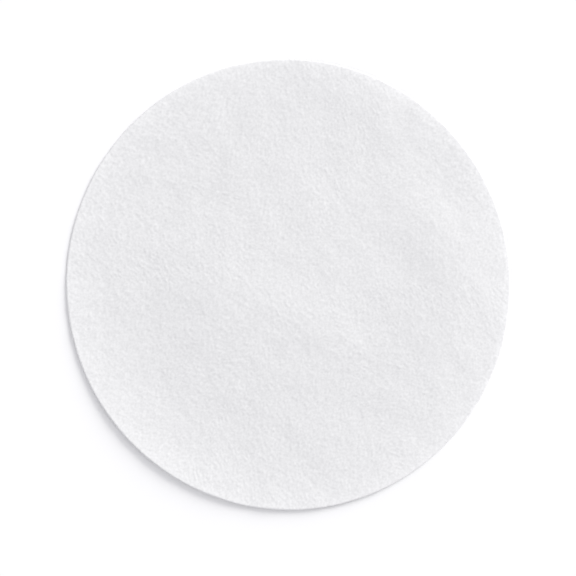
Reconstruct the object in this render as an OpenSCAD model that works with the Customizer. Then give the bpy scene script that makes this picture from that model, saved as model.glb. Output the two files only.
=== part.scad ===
// Filter paper disc: one round die-cut sheet of plain laboratory filter paper, lying on a table.
// The origin is the disc's centre, on the table. +Z is up. All sizes are in millimetres.

/* [Sheet] */
// Diameter of the disc
disc_d = 90; // [40:1:150]
// Thickness of the paper
sheet_t = 0.2; // [0.15:0.01:0.45]

/* [Raised rim] */
// Height that the rim is raised along its highest stretch
lip_lift = 1.04; // [0:0.02:1.4]
// Direction of the highest stretch of the rim, counter-clockwise from +X
lip_heading = 234; // [0:1:359]
// Angle from the middle of that stretch at which the lift has dropped to six tenths
lip_spread = 39; // [20:1:80]
// Width of the band inside the rim that curls up
curl_band = 19; // [8:0.5:19.5]

/* [Swells] */
// Height of the broad crown in the middle of the sheet
crown_h = 0.88; // [0.4:0.02:1.4]
// Height of the shoulder beside the crown, towards the raised rim
shoulder_h = 0.62; // [0:0.02:1.2]
// Height of the flank beside the crown, on the +X side
flank_h = 0.88; // [0:0.02:1.2]
// Height of the short steep ridge above the flank
knuckle_h = 0.58; // [0:0.02:0.8]
// Height of the swell that reaches the rim on the +Y side
brow_h = 0.48; // [0:0.02:0.7]
// Height of the long low ridge across the middle
ridge_h = 0.32; // [0:0.02:0.5]
// Height of the low swell on the -X side
side_h = 0.28; // [0:0.02:0.4]
// Height of the smallest ripples
ripple_h = 0.14; // [0:0.01:0.25]
// Height below which the sheet has settled flat on the table
touch_h = 0.25; // [0.18:0.01:0.34]

/* [Fineness] */
// Facets across the disc
cells = 42; // [24:2:60]

/* [Hidden] */

disc_r = disc_d / 2;
settle_h = 0.06;     // height over which the sheet lifts off the table smoothly
spare_cells = 1;     // cells of stock beyond the cut, on each side
pitch = disc_d / cells;
last = cells + 2 * spare_cells;
stock_h = 12;        // height of the round cutter, well past both faces
paper_white = [0.97, 0.97, 0.98];

// The swells: [centre x, centre y, heading of the crest, half length, half width, height].
// Centres, lengths and widths are shares of the disc's radius, and headings are in degrees from +X.
SWELLS = [
    [ 0.19, -0.03, -77, 0.62, 0.30, crown_h],
    [-0.33, -0.26, -53, 0.52, 0.22, shoulder_h],
    [ 0.74, -0.07, -27, 0.16, 0.34, flank_h],
    [ 0.61,  0.24, -57, 0.20, 0.10, knuckle_h],
    [ 0.37,  0.86, -30, 0.28, 0.13, brow_h],
    [-0.02, -0.16, -27, 0.29, 0.10, ridge_h],
    [-0.29,  0.13, -12, 0.14, 0.33, side_h],
    [ 0.19, -0.70, -22, 0.12, 0.07, ripple_h],
    [ 0.46, -0.04, -57, 0.13, 0.07, ripple_h],
];

// A swell's height at p: a smooth mound, longer along its heading than across it.
function swell(p, s) =
    let (d = p / disc_r - [s[0], s[1]],
         along = (d[0] * cos(s[2]) + d[1] * sin(s[2])) / s[3],
         across = (d[1] * cos(s[2]) - d[0] * sin(s[2])) / s[4])
    s[5] * exp(-(along * along + across * across) / 2);

function swells(p) = [for (s = SWELLS) 1] * [for (s = SWELLS) swell(p, s)];

// The curl of the rim at p: nothing inside the band, then ever steeper out to the cut.
function curl(p) =
    let (outward = min(1.1, max(0, (norm(p) - disc_r + curl_band) / curl_band)),
         turn = atan2(p[1], p[0]) - lip_heading,
         off = atan2(sin(turn), cos(turn)) / lip_spread)
    lip_lift * outward * outward * exp(-off * off / 2);

// Where the sheet would sink below the table it lies flat on it, and it leaves the table smoothly.
function settled(h) = h <= 0 ? 0 : h < settle_h ? h * h / (2 * settle_h) : h - settle_h / 2;

function underside(p) = settled(swells(p) + curl(p) - touch_h);

function spot(i, j) = [i - last / 2, j - last / 2] * pitch;

// Square stock of the waved sheet: a grid of points on its top and its underside, joined at the sides.
module waved_stock() {
    row = last + 1;
    layer = row * row;
    grid = [for (i = [0:last], j = [0:last]) spot(i, j)];
    low = [for (p = grid) [p[0], p[1], underside(p)]];
    high = [for (p = low) p + [0, 0, sheet_t]];
    under = [for (i = [0:last - 1], j = [0:last - 1])
        let (a = i * row + j, b = a + row)
        each [[a, b, a + 1], [b, b + 1, a + 1]]];
    over = [for (f = under) [f[2] + layer, f[1] + layer, f[0] + layer]];
    rim = concat(
        [for (i = [0:last]) i * row],
        [for (j = [1:last]) last * row + j],
        [for (i = [last - 1:-1:0]) i * row + last],
        [for (j = [last - 1:-1:1]) j]);
    side = [for (k = [0:len(rim) - 1])
        let (a = rim[k], b = rim[(k + 1) % len(rim)])
        each [[b, a, a + layer], [b, a + layer, b + layer]]];
    polyhedron(points = concat(low, high), faces = concat(under, over, side), convexity = 6);
}

// The disc: the waved sheet, die-cut round with a square edge.
module filter_disc() {
    color(paper_white)
        intersection() {
            waved_stock();
            translate([0, 0, -stock_h / 2]) cylinder(d = disc_d, h = stock_h, $fn = 240);
        }
}

filter_disc();
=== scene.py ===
"""Filter paper disc: the felted sheet, its finish, and the table, lights and camera around it."""

import math

import bpy
import numpy as np
from mathutils import Matrix, Vector
from mathutils.bvhtree import BVHTree


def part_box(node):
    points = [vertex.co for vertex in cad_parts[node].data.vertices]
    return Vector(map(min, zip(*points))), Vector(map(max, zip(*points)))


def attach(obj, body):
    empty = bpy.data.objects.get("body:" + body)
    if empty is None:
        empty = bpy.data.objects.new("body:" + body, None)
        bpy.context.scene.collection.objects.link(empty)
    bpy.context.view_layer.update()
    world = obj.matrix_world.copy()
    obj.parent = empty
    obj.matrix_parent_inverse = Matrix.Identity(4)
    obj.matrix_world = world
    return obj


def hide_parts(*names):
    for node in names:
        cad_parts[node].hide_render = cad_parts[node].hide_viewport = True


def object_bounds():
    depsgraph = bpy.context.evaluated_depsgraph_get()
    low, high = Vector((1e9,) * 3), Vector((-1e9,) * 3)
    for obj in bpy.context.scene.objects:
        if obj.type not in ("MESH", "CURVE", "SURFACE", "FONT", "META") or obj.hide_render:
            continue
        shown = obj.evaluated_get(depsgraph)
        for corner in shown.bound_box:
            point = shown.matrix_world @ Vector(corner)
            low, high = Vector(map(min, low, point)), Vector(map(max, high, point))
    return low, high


bl_info = {
    "name": "Filter Paper Disc",
    "version": (1, 0, 0),
    "blender": (4, 5, 0),
    "location": "3D View > Sidebar > Filter Disc",
    "description": "Builds a felted filter paper disc and a plain studio around it",
    "category": "Mesh",
}

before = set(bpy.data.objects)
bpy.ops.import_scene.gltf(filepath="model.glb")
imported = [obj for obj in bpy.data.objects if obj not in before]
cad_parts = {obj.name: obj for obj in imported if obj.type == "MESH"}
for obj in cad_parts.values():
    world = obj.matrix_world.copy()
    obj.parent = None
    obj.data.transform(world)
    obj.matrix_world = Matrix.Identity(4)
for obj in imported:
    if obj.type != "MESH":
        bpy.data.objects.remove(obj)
CAD_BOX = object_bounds()
DISC_NODE = "filter_disc"
SHEET_NAME = "paper_sheet"

MM = 0.001

# The squares that heights are worked out on
RELIEF_CELLS = 1024            # cells across a square
RELIEF_MARGIN = 1.13           # a square's side, as a share of the disc's diameter
CAD_PLACES = 97                # places across a square where the CAD disc is measured
RIM_INSET = 0.9995             # how far out the CAD disc is measured, as a share of its radius

# The felt
FIBRE_STEPS = 15               # places along a fibre
FIBRE_SPREAD = (0.5, 1.5)      # shortest and longest fibre, as shares of the mean length
FIBRE_WEIGHTS = (0.3, 1)       # thinnest and thickest fibre
FIBRE_BEND = 0.9               # how far fibres bend, as a share of their length
FELT_REACH = 3.2               # widest clumps that the fibres make, in mean fibre lengths
FELT_FINENESS = 0.35           # power of frequency by which finer relief is the stronger

# The paper's finish, and its painted glow near the cut
FIBRE_TURNS = (12, 58, 101, 147)                    # turn of each layer of the finest fibres, in degrees
FIBRE_STRETCH = 6                                   # how many times longer than wide those fibres are
FINE_FIBRE = 1.3 * MM                               # their length
SPECK = 0.35 * MM                                   # size of the specks between them
BUMP_SHARES = (0.7, 0.3)                            # how much fibres and specks raise the felt
BUMP_HEIGHT = 0.02 * MM                             # how far they raise it at the most
ROUGHNESS_RANGE = 0.08                              # difference between the smoothest and roughest felt
# Bands of painted light near the cut: lighter felt that stands in for light shining through the paper's cut
# edge
PAINTED_GLOW_BANDS = ((1, 0.64), (5, 0.7))                   # how fast each lighter band fades, and its strength
KNOTS = ((0.64 * MM, 0.42), (0.42 * MM, 0.58))      # sizes of the mottle's knots, and their shares
KNOT_RANGE = (0.25, 0.75)                           # stretch of the knots' noise that the mottle spans

# The stage
TABLE_SPAN = 60                # the table's side, in disc diameters
TABLE_GRAIN = 40 * MM          # size of the table's faint clouds
TABLE_SHADE = 0.995            # how dark the clouds are, as a share of the table's colour
HORIZON_RANGE = (0.16, 0.34)   # where the room turns from its horizon to its fill, as a share of upward


class SheetSettings(bpy.types.PropertyGroup):
    """Sizes of the felted sheet that change how it looks and not how large it is."""

    rings: bpy.props.IntProperty(
        name="Rings", description="Rings of vertices on the top face", default=165, min=24)
    soften: bpy.props.FloatProperty(
        name="Soften", description="Radius over which the sheet's broad swells are smoothed",
        default=1.3 * MM, unit="LENGTH")
    fibres: bpy.props.IntProperty(
        name="Fibres", description="Fibres felted into the relief of each face", default=90000)
    fibre_length: bpy.props.FloatProperty(
        name="Fibre length", description="Mean length of a fibre", default=1.1 * MM, unit="LENGTH")
    fibre_width: bpy.props.FloatProperty(
        name="Fibre width", description="Half width to which a fibre's ridge is spread",
        default=0.08 * MM, unit="LENGTH")
    grain_slope: bpy.props.FloatProperty(
        name="Grain slope", description="Root mean square slope of the felt grain", default=0.164)
    floc_size: bpy.props.FloatProperty(
        name="Floc size", description="Width of the soft clumps in the felt",
        default=2.5 * MM, unit="LENGTH")
    floc_slope: bpy.props.FloatProperty(
        name="Floc slope", description="Root mean square slope of the soft clumps", default=0.0145)
    cockle_size: bpy.props.FloatProperty(
        name="Cockle size", description="Width of the faint hollows left by drying",
        default=7 * MM, unit="LENGTH")
    cockle_slope: bpy.props.FloatProperty(
        name="Cockle slope", description="Root mean square slope of the faint hollows", default=0.016)
    back_share: bpy.props.FloatProperty(
        name="Back share", description="How much of the top's relief the smoother underside has",
        subtype="FACTOR", default=0.2)
    pit_depth: bpy.props.FloatProperty(
        name="Pit depth", description="How deep the relief's deepest pits go",
        default=0.11 * MM, unit="LENGTH")
    edge_round: bpy.props.FloatProperty(
        name="Edge rounding", description="How far the cut edge is rounded off at each face",
        default=0.06 * MM, unit="LENGTH")
    edge_dip: bpy.props.FloatProperty(
        name="Edge dip", description="How far the cutting die pressed the top face down at the cut",
        default=0.055 * MM, unit="LENGTH")
    dip_reach: bpy.props.FloatProperty(
        name="Dip reach", description="How far in from the cut the top face is pressed down",
        default=1.3 * MM, unit="LENGTH")
    edge_fray: bpy.props.FloatProperty(
        name="Edge fray", description="How far the cut edge wanders in and out",
        default=0.025 * MM, unit="LENGTH")
    seed: bpy.props.IntProperty(
        name="Seed", description="Which felt the fibres make", default=11)


class PaperSettings(bpy.types.PropertyGroup):
    """Colours and finish of the paper, and the painted glow near its cut."""

    white: bpy.props.FloatVectorProperty(
        name="Paper", description="Colour of the felt", subtype="COLOR", size=3,
        default=(0.785, 0.786, 0.787), min=0, max=1)
    # Painted light: the felt near the cut is made lighter, standing in for light that shines through the
    # paper's cut edge.
    rim_painted_glow: bpy.props.FloatVectorProperty(
        name="Rim", description="Colour of the felt right at the cut", subtype="COLOR", size=3,
        default=(0.841, 0.842, 0.843), min=0, max=1)
    # How far in from the cut the painted glow reaches.
    painted_glow_reach: bpy.props.FloatProperty(
        name="Rim reach", description="How far in from the cut the felt is lighter",
        default=4.2 * MM, unit="LENGTH")
    mottle: bpy.props.FloatProperty(
        name="Mottle", description="How much darker the felt is between its knots", default=0.107)
    roughness: bpy.props.FloatProperty(
        name="Roughness", description="Roughness of the felt", subtype="FACTOR", default=0.9)


class StageSettings(bpy.types.PropertyGroup):
    """The table, the lights and the camera."""

    floor_white: bpy.props.FloatVectorProperty(
        name="Table", description="Colour of the table", subtype="COLOR", size=3,
        default=(0.92, 0.92, 0.92), min=0, max=1)
    key_heading: bpy.props.FloatProperty(
        name="Key heading", description="Direction that the key light comes from, from +X",
        subtype="ANGLE", default=math.radians(41))
    key_height: bpy.props.FloatProperty(
        name="Key height", description="Angle of the key light above the table",
        subtype="ANGLE", default=math.radians(23))
    key_spread: bpy.props.FloatProperty(
        name="Key spread", description="Angle from the middle of the key light to its edge",
        subtype="ANGLE", default=math.radians(19.5))
    key_strength: bpy.props.FloatProperty(
        name="Key strength", description="Light that the key throws on the table", default=0.325)
    key_tint: bpy.props.FloatVectorProperty(
        name="Key tint", description="Colour of the key light", subtype="COLOR", size=3,
        default=(1.0, 1.0, 0.975), min=0, max=1)
    fill_strength: bpy.props.FloatProperty(
        name="Fill strength", description="Light that comes evenly from all round", default=0.79)
    fill_tint: bpy.props.FloatVectorProperty(
        name="Fill tint", description="Colour of the fill", subtype="COLOR", size=3,
        default=(0.965, 0.96, 1.0), min=0, max=1)
    horizon: bpy.props.FloatProperty(
        name="Horizon", description="Brightness of the room down at the table's edge", default=1.0)
    tilt: bpy.props.FloatProperty(
        name="Camera tilt", description="Angle of the camera from straight overhead",
        subtype="ANGLE", default=math.radians(10.0))
    tilt_heading: bpy.props.FloatProperty(
        name="Tilt heading", description="Direction that the camera leans to, from +X",
        subtype="ANGLE", default=math.radians(187))
    lens: bpy.props.FloatProperty(name="Lens", description="Focal length in millimetres", default=180)
    fill: bpy.props.FloatProperty(
        name="Fill of the frame", description="Share of the frame's width that the disc takes",
        default=0.7822)
    rise: bpy.props.FloatProperty(
        name="Rise", description="How far above the frame's middle the disc lies",
        default=0.76 * MM, unit="LENGTH")
    slide: bpy.props.FloatProperty(
        name="Slide", description="How far to the right of the frame's middle the disc lies",
        default=0.60 * MM, unit="LENGTH")


# ---------------------------------------------------------------- heights, as square arrays


def spots(half):
    """The places of a relief square's rows or columns, from -half to half."""
    return (np.arange(RELIEF_CELLS) + 0.5) / RELIEF_CELLS * 2 * half - half


def waves(half):
    """How many waves per metre each of the relief square's frequencies has."""
    step = 2 * half / RELIEF_CELLS
    down = np.fft.fftfreq(RELIEF_CELLS, step)[:, None]
    across = np.fft.rfftfreq(RELIEF_CELLS, step)[None, :]
    return np.hypot(down, across)


def filtered(heights, gains):
    """The heights with each frequency made stronger or weaker by its gain."""
    return np.fft.irfft2(np.fft.rfft2(heights) * gains, s=heights.shape)


def blurred(heights, half, radius):
    """The heights smoothed by a bell of this radius."""
    return filtered(heights, np.exp(-2 * (math.pi * radius * waves(half)) ** 2))


def with_slope(heights, half, slope):
    """The heights scaled so that their root mean square slope, over both directions, is the one given."""
    step = 2 * half / RELIEF_CELLS
    down, across = np.gradient(heights, step)
    return (heights - heights.mean()) * slope / math.sqrt((down**2 + across**2).mean())


def read_at(heights, half, x, y):
    """The heights at these places, between the square's cells."""
    column = (x + half) / (2 * half) * RELIEF_CELLS - 0.5
    row = (y + half) / (2 * half) * RELIEF_CELLS - 0.5
    c, r = np.floor(column).astype(int), np.floor(row).astype(int)
    u, v = column - c, row - r
    return ((heights[r, c] * (1 - u) + heights[r, c + 1] * u) * (1 - v)
            + (heights[r + 1, c] * (1 - u) + heights[r + 1, c + 1] * u) * v)


def felted(half, count, length, width, rng):
    """A felt of short bent fibres lying every way, spread so that its finer slopes are the stronger."""
    along = np.linspace(-0.5, 0.5, FIBRE_STEPS)[None, :]
    reach = length * rng.uniform(*FIBRE_SPREAD, (count, 1))
    heading = rng.uniform(0, math.pi, (count, 1))
    bend = rng.normal(0, FIBRE_BEND, (count, 1)) * reach * along**2
    x = rng.uniform(-half, half, (count, 1)) + reach * along * np.cos(heading) - bend * np.sin(heading)
    y = rng.uniform(-half, half, (count, 1)) + reach * along * np.sin(heading) + bend * np.cos(heading)
    weight = np.broadcast_to(rng.uniform(*FIBRE_WEIGHTS, (count, 1)) * reach, x.shape)
    column = ((x + half) / (2 * half) * RELIEF_CELLS).astype(int) % RELIEF_CELLS
    row = ((y + half) / (2 * half) * RELIEF_CELLS).astype(int) % RELIEF_CELLS
    laid = np.bincount((row * RELIEF_CELLS + column).ravel(), weight.ravel(), RELIEF_CELLS**2)
    frequency = np.maximum(waves(half), 1 / (2 * half))
    low_cut = 1 / (1 + (1 / (frequency * FELT_REACH * length)) ** 4)
    gains = frequency**FELT_FINENESS * low_cut
    return blurred(filtered(laid.reshape(RELIEF_CELLS, RELIEF_CELLS), gains), half, width)


def clumped(half, size, rng):
    """Soft clumps of about one size."""
    noise = rng.normal(size=(RELIEF_CELLS, RELIEF_CELLS))
    frequency = waves(half) * size
    return filtered(noise, frequency * np.exp(-2 * frequency**2))


def pressed_edge(half, radius, dip, reach):
    """How far the top face lies below the sheet's own level near the cut."""
    row = spots(half)
    inward = np.maximum(radius - np.hypot(row[:, None], row[None, :]), 0)
    return dip * np.exp(-inward / reach)


def cad_heights(node, half, radius, soften):
    """The heights of the CAD disc's top and underside, smoothed, as two relief squares.

    Past the rim each goes on as steeply as it arrives there, so the smoothing leaves the rim's curl alone.
    """
    tree = BVHTree.FromObject(node, bpy.context.evaluated_depsgraph_get())
    far = 10 * (CAD_BOX[1].z - CAD_BOX[0].z)
    inside = radius * RIM_INSET
    places = np.linspace(-half, half, CAD_PLACES)

    def height(x, y, side):
        hit = tree.ray_cast(Vector((x, y, far * side)), Vector((0, 0, -side)))[0]
        if hit is None:
            raise RuntimeError(f"the CAD disc has no face at {x:.4f}, {y:.4f}")
        return hit.z

    def carried_on(x, y, side):
        out = math.hypot(x, y)
        if out <= inside:
            return height(x, y, side)
        at_rim, within = inside / out, (2 * inside - out) / out
        return (2 * height(x * at_rim, y * at_rim, side)
                - height(x * within, y * within, side))

    faces = []
    for side in (1, -1):
        coarse = np.array([[carried_on(x, y, side) for x in places] for y in places])
        rows = np.array([np.interp(spots(half), places, row) for row in coarse])
        fine = np.array([np.interp(spots(half), places, column) for column in rows.T]).T
        faces.append(blurred(fine, half, soften))
    return faces


# ---------------------------------------------------------------- the sheet's mesh


def ring_places(radius, rings):
    """A middle place and then rings of 6, 12, 18 and so on, evenly spread over a circle."""
    turn = [np.arange(6 * k) / (6 * k) * 2 * math.pi for k in range(1, rings + 1)]
    out = [np.full(6 * k, radius * k / rings) for k in range(1, rings + 1)]
    turn, out = np.concatenate([[0.0], *turn]), np.concatenate([[0.0], *out])
    return out * np.cos(turn), out * np.sin(turn)


def ring_start(k):
    """The number of the first vertex on ring k."""
    return 1 + 3 * k * (k - 1) if k else 0


def ring_faces(rings):
    """Triangles between the rings, seen from above."""
    faces = []
    for k in range(rings):
        inner, outer = ring_start(k), ring_start(k + 1)
        in_count, out_count = max(6 * k, 1), 6 * (k + 1)
        for sector in range(6):
            for i in range(k + 1):
                a = inner + (sector * k + i) % in_count
                b = outer + sector * (k + 1) + i
                c = outer + (sector * (k + 1) + i + 1) % out_count
                faces.append((a, b, c))
                if i < k:
                    faces.append((a, c, inner + (sector * k + i + 1) % in_count))
    return faces


def band_faces(upper, lower):
    """Triangles between a ring of vertices and the ring below it, which has as many or a third as many."""
    faces, count, share = [], len(upper), len(upper) // len(lower)
    for i in range(count):
        a, b = upper[i], upper[(i + 1) % count]
        c = lower[i // share]
        d = lower[((i + 1) // share) % len(lower)]
        faces.append((a, c, b))
        if c != d:
            faces.append((b, c, d))
    return faces


def wandering(count, rng):
    """A closed run of numbers from about -1 to 1 that drifts smoothly from one to the next."""
    frequency = np.fft.rfftfreq(count, 1 / count)
    gains = np.exp(-((frequency / (count / 6)) ** 2))
    run = np.fft.irfft(np.fft.rfft(rng.normal(size=count)) * gains, n=count)
    return run / (2 * run.std())


def disc_radius():
    low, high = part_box(DISC_NODE)
    return (high.x - low.x) / 2


def felt_relief(settings, half, rng):
    """One face's relief: the felt's grain, its soft clumps and the hollows left by drying."""
    grain = felted(half, settings.fibres, settings.fibre_length, settings.fibre_width, rng)
    clumps = clumped(half, settings.floc_size, rng)
    hollows = clumped(half, settings.cockle_size, rng)
    return (with_slope(grain, half, settings.grain_slope)
            + with_slope(clumps, half, settings.floc_slope)
            + with_slope(hollows, half, settings.cockle_slope))


def face_heights(settings, half, radius, rng):
    """The heights of the sheet's top and underside, relief and all."""
    top, under = cad_heights(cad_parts[DISC_NODE], half, radius, settings.soften)
    relief = np.maximum(felt_relief(settings, half, rng), -settings.pit_depth)
    back_relief = settings.back_share * felt_relief(settings, half, rng)
    dip = pressed_edge(half, radius, settings.edge_dip, settings.dip_reach)
    return top + relief - dip, np.maximum(under + back_relief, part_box(DISC_NODE)[0].z)


def sheet_mesh(settings):
    """The sheet as one closed mesh: a fine top, a plainer underside and a softly rounded cut edge."""
    radius = disc_radius()
    half = radius * RELIEF_MARGIN
    rng = np.random.default_rng(settings.seed)
    top, under = face_heights(settings, half, radius, rng)

    rings, back_rings = settings.rings, settings.rings // 3
    x, y = ring_places(radius - settings.edge_round, rings)
    bx, by = ring_places(radius - settings.edge_round, back_rings)
    count = 6 * rings
    turn = np.arange(count) / count * 2 * math.pi
    fray = settings.edge_fray * wandering(count, rng)
    rim = np.arange(ring_start(rings), ring_start(rings) + count)
    back_rim = np.arange(ring_start(back_rings), ring_start(back_rings) + count // 3)
    for px, py, edge, wander in ((x, y, rim, fray), (bx, by, back_rim, fray[::3])):
        share = 1 + wander / radius
        px[edge] *= share
        py[edge] *= share
    mid_x = (radius + fray) * np.cos(turn)
    mid_y = (radius + fray) * np.sin(turn)
    z = read_at(top, half, x, y)
    bz = read_at(under, half, bx, by)
    mid_z = (read_at(top, half, mid_x, mid_y) + read_at(under, half, mid_x, mid_y)) / 2

    points = np.concatenate([
        np.stack([x, y, z], 1), np.stack([mid_x, mid_y, mid_z], 1), np.stack([bx, by, bz], 1)])
    middle = len(x) + np.arange(count)
    below = len(x) + count
    faces = ring_faces(rings)
    faces += band_faces(rim, middle)
    faces += band_faces(middle, below + back_rim)
    faces += [(below + a, below + c, below + b) for a, b, c in ring_faces(back_rings)]
    mesh = bpy.data.meshes.new(SHEET_NAME)
    mesh.from_pydata(points.tolist(), [], [tuple(map(int, f)) for f in faces])
    mesh.validate()
    mesh.shade_smooth()
    return mesh


# ---------------------------------------------------------------- materials


class Nodes:
    """A short way to write a node tree."""

    def __init__(self, owner):
        self.owner = owner
        owner.use_nodes = True
        self.tree = owner.node_tree
        self.tree.nodes.clear()

    def add(self, kind, settings=None, **inputs):
        """A new node. Its inputs are sockets to link or values to set.

        An input goes by its name, with underscores for spaces, or by its number, as i0 or i1.
        """
        node = self.tree.nodes.new(kind)
        for name, value in (settings or {}).items():
            setattr(node, name, value)
        for name, value in inputs.items():
            key = int(name[1:]) if name[1:].isdigit() else name.replace("_", " ")
            socket = node.inputs[key]
            if isinstance(value, bpy.types.NodeSocket):
                self.tree.links.new(value, socket)
            else:
                socket.default_value = value
        return node

    def math(self, operation, *values):
        """The result of a sum, product or the like of sockets and numbers."""
        return self.add("ShaderNodeMath", {"operation": operation},
                        **{f"i{i}": v for i, v in enumerate(values)}).outputs[0]

    def mix(self, share, a, b):
        """The colour this share of the way from a to b."""
        node = self.add("ShaderNodeMix", {"data_type": "RGBA"})
        for socket, value in zip((node.inputs[0], node.inputs[6], node.inputs[7]), (share, a, b)):
            if isinstance(value, bpy.types.NodeSocket):
                self.tree.links.new(value, socket)
            else:
                socket.default_value = value
        return node.outputs[2]

    def noise(self, where, size, detail=2.0, roughness=0.5):
        """A cloudy noise whose clouds are about this wide."""
        return self.add("ShaderNodeTexNoise", Vector=where, Scale=1 / size, Detail=detail,
                        Roughness=roughness).outputs["Fac"]

    def shader(self, **inputs):
        """The material, finished with a principled surface."""
        shader = self.add("ShaderNodeBsdfPrincipled", **inputs)
        self.add("ShaderNodeOutputMaterial", Surface=shader.outputs[0])
        return self.owner


def paper(settings, radius):
    """Uncoated felted cellulose: near-white, matt, faintly cloudy, with fine fibres lying every way, and a
    painted glow near the cut that stands in for light shining through its edge.
    """
    n = Nodes(bpy.data.materials.new("felted_paper"))
    where = n.add("ShaderNodeTexCoord").outputs["Object"]

    def fibre_layer(turn):
        """Fibres that all lie one way, from a noise stretched along them."""
        place = n.add("ShaderNodeMapping", Vector=where, Rotation=(0, 0, turn), Scale=(1, FIBRE_STRETCH, 1))
        return n.noise(place.outputs[0], FINE_FIBRE, 2, 0.6)

    layers = [fibre_layer(math.radians(turn)) for turn in FIBRE_TURNS]
    fibres = layers[0]
    for layer in layers[1:]:
        fibres = n.math("MAXIMUM", fibres, layer)
    specks = n.noise(where, SPECK, 2, 0.6)

    # Painted light: the felt is made lighter towards the cut, standing in for light that shines through the
    # paper's cut edge.
    split = n.add("ShaderNodeSeparateXYZ", Vector=where)
    flat_place = n.add("ShaderNodeCombineXYZ", X=split.outputs[0], Y=split.outputs[1])
    out = n.add("ShaderNodeVectorMath", {"operation": "LENGTH"}, i0=flat_place.outputs[0]).outputs["Value"]
    inward = n.math("DIVIDE", n.math("SUBTRACT", radius, out), settings.painted_glow_reach)
    painted_glows = [n.math("MULTIPLY", n.math("POWER", math.e, n.math("MULTIPLY", inward, -pace)), strength)
             for pace, strength in PAINTED_GLOW_BANDS]
    # The felt's colour, with the painted glow mixed in towards the cut.
    white = n.mix(n.math("ADD", *painted_glows), (*settings.white, 1), (*settings.rim_painted_glow, 1))

    knots = n.math("ADD", *(n.math("MULTIPLY", n.noise(where, size, 0), share) for size, share in KNOTS))
    depth = n.add("ShaderNodeMapRange", Value=knots, From_Min=KNOT_RANGE[0],
                  From_Max=KNOT_RANGE[1]).outputs[0]
    mottled = n.mix(depth, white, n.mix(settings.mottle, white, (0, 0, 0, 1)))

    height = n.math("ADD", *(n.math("MULTIPLY", *pair) for pair in zip((fibres, specks), BUMP_SHARES)))
    bump = n.add("ShaderNodeBump", Strength=1.0, Distance=BUMP_HEIGHT, Height=height)
    rough = n.math("ADD", n.math("MULTIPLY", specks, ROUGHNESS_RANGE),
                   settings.roughness - ROUGHNESS_RANGE / 2)
    return n.shader(Base_Color=mottled, Roughness=rough, Normal=bump.outputs[0],
                    Specular_IOR_Level=0.25)


def table_top(settings):
    """A plain pale matt table."""
    n = Nodes(bpy.data.materials.new("pale_table"))
    where = n.add("ShaderNodeTexCoord").outputs["Object"]
    grain = n.noise(where, TABLE_GRAIN, 2)
    pale = tuple(settings.floor_white)
    shade = tuple(c * TABLE_SHADE for c in pale)
    return n.shader(Base_Color=n.mix(grain, (*pale, 1), (*shade, 1)), Roughness=0.95,
                    Specular_IOR_Level=0.0)


# ---------------------------------------------------------------- operators


class FILTERDISC_OT_sheet(bpy.types.Operator):
    """Make the felted paper sheet on the CAD disc"""

    bl_idname = "filterdisc.sheet"
    bl_label = "Make the sheet"

    def execute(self, context):
        radius = disc_radius()
        sheet = bpy.data.objects.new(SHEET_NAME, sheet_mesh(context.scene.disc_sheet))
        context.scene.collection.objects.link(sheet)
        sheet.data.materials.append(paper(context.scene.disc_paper, radius))
        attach(sheet, "root")
        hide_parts(DISC_NODE)
        return {"FINISHED"}


class FILTERDISC_OT_stage(bpy.types.Operator):
    """Set up the table, the lights and the camera"""

    bl_idname = "filterdisc.stage"
    bl_label = "Set up the stage"

    def execute(self, context):
        settings = context.scene.disc_stage
        low, high = CAD_BOX
        size = high.x - low.x
        middle = Vector(((low.x + high.x) / 2, (low.y + high.y) / 2, low.z))
        lay_table(context.scene, settings, middle, TABLE_SPAN * size)
        light_studio(context.scene, settings)
        place_camera(context.scene, settings, middle, size)
        return {"FINISHED"}


def lay_table(scene, settings, middle, width):
    """A plain square table under the sheet, too wide for its edges to show."""
    mesh = bpy.data.meshes.new("table")
    half = width / 2
    corners = [(middle.x + a * half, middle.y + b * half, middle.z)
               for a, b in ((-1, -1), (1, -1), (1, 1), (-1, 1))]
    mesh.from_pydata(corners, [], [(0, 1, 2, 3)])
    table = bpy.data.objects.new("table", mesh)
    scene.collection.objects.link(table)
    mesh.materials.append(table_top(settings))


def towards(heading, height):
    """The direction at this heading from +X and this angle above the table."""
    return Vector((math.cos(heading) * math.cos(height), math.sin(heading) * math.cos(height),
                   math.sin(height)))


def white_room(settings):
    """An even pale room, a little lighter low down, so that the table runs into it without a line."""
    n = Nodes(bpy.data.worlds.new("white_room"))
    way = n.add("ShaderNodeTexCoord").outputs["Generated"]
    up = n.add("ShaderNodeSeparateXYZ", Vector=way).outputs["Z"]
    share = n.add("ShaderNodeMapRange", {"interpolation_type": "SMOOTHSTEP"}, Value=up,
                  From_Min=HORIZON_RANGE[0], From_Max=HORIZON_RANGE[1]).outputs[0]
    fill = tuple(c * settings.fill_strength for c in settings.fill_tint)
    tone = n.mix(share, (settings.horizon,) * 3 + (1,), (*fill, 1))
    room = n.add("ShaderNodeBackground", Color=tone, Strength=1.0)
    n.add("ShaderNodeOutputWorld", Surface=room.outputs[0])
    return n.owner


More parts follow.
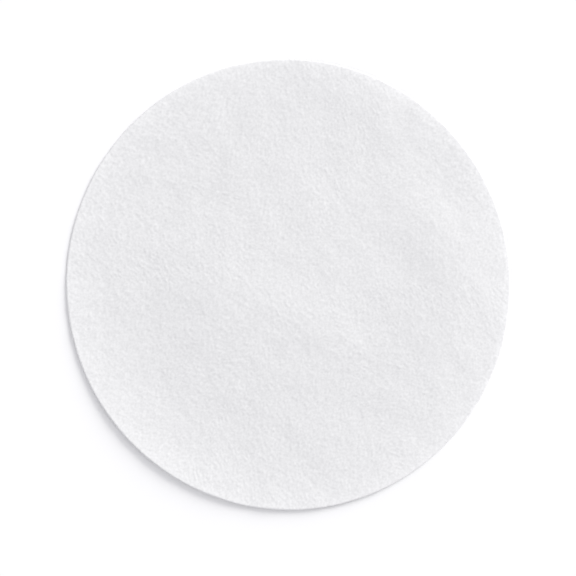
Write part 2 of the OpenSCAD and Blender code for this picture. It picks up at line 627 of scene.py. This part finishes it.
def light_studio(scene, settings):
    """One broad soft key light, low on one side, and an even fill from the white room."""
    lamp = bpy.data.lights.new("key_light", "SUN")
    lamp.angle = 2 * settings.key_spread
    lamp.energy = settings.key_strength * math.pi / math.sin(settings.key_height)
    lamp.color = settings.key_tint
    key = bpy.data.objects.new("key_light", lamp)
    way = towards(settings.key_heading, settings.key_height)
    key.rotation_euler = way.to_track_quat("Z", "Y").to_euler()
    key.location = way
    scene.collection.objects.link(key)
    scene.world = white_room(settings)
    scene.view_settings.view_transform = "Standard"
    scene.view_settings.look = "None"


def place_camera(scene, settings, middle, size):
    """A long lens almost overhead, with +Y up the frame."""
    lens = bpy.data.cameras.new("camera")
    lens.lens = settings.lens
    away = lens.lens / lens.sensor_width * size / settings.fill
    back = towards(settings.tilt_heading, math.pi / 2 - settings.tilt)
    right = Vector((0, 1, 0)).cross(back).normalized()
    up = back.cross(right)
    camera = bpy.data.objects.new("camera", lens)
    turned = Matrix((right, up, back)).transposed().to_4x4()
    turned.translation = middle + back * away - up * settings.rise - right * settings.slide
    camera.matrix_world = turned
    scene.collection.objects.link(camera)
    scene.camera = camera


class FILTERDISC_PT_panel(bpy.types.Panel):
    """Lists the disc's settings and the steps that build it"""

    bl_idname = "FILTERDISC_PT_panel"
    bl_label = "Filter Paper Disc"
    bl_space_type = "VIEW_3D"
    bl_region_type = "UI"
    bl_category = "Filter Disc"

    def draw(self, context):
        for group, step in (("disc_sheet", None), ("disc_paper", "filterdisc.sheet"),
                            ("disc_stage", "filterdisc.stage")):
            settings = getattr(context.scene, group)
            box = self.layout.box()
            for name in settings.__annotations__:
                box.prop(settings, name)
            if step:
                box.operator(step)


SETTINGS = {"disc_sheet": SheetSettings, "disc_paper": PaperSettings, "disc_stage": StageSettings}
CLASSES = (*SETTINGS.values(), FILTERDISC_OT_sheet, FILTERDISC_OT_stage, FILTERDISC_PT_panel)


def register():
    for cls in CLASSES:
        bpy.utils.register_class(cls)
    for name, group in SETTINGS.items():
        setattr(bpy.types.Scene, name, bpy.props.PointerProperty(type=group))


def unregister():
    for name in SETTINGS:
        delattr(bpy.types.Scene, name)
    for cls in reversed(CLASSES):
        bpy.utils.unregister_class(cls)


def main():
    register()
    bpy.ops.filterdisc.sheet()
    bpy.ops.filterdisc.stage()


if __name__ == "__main__":
    main()
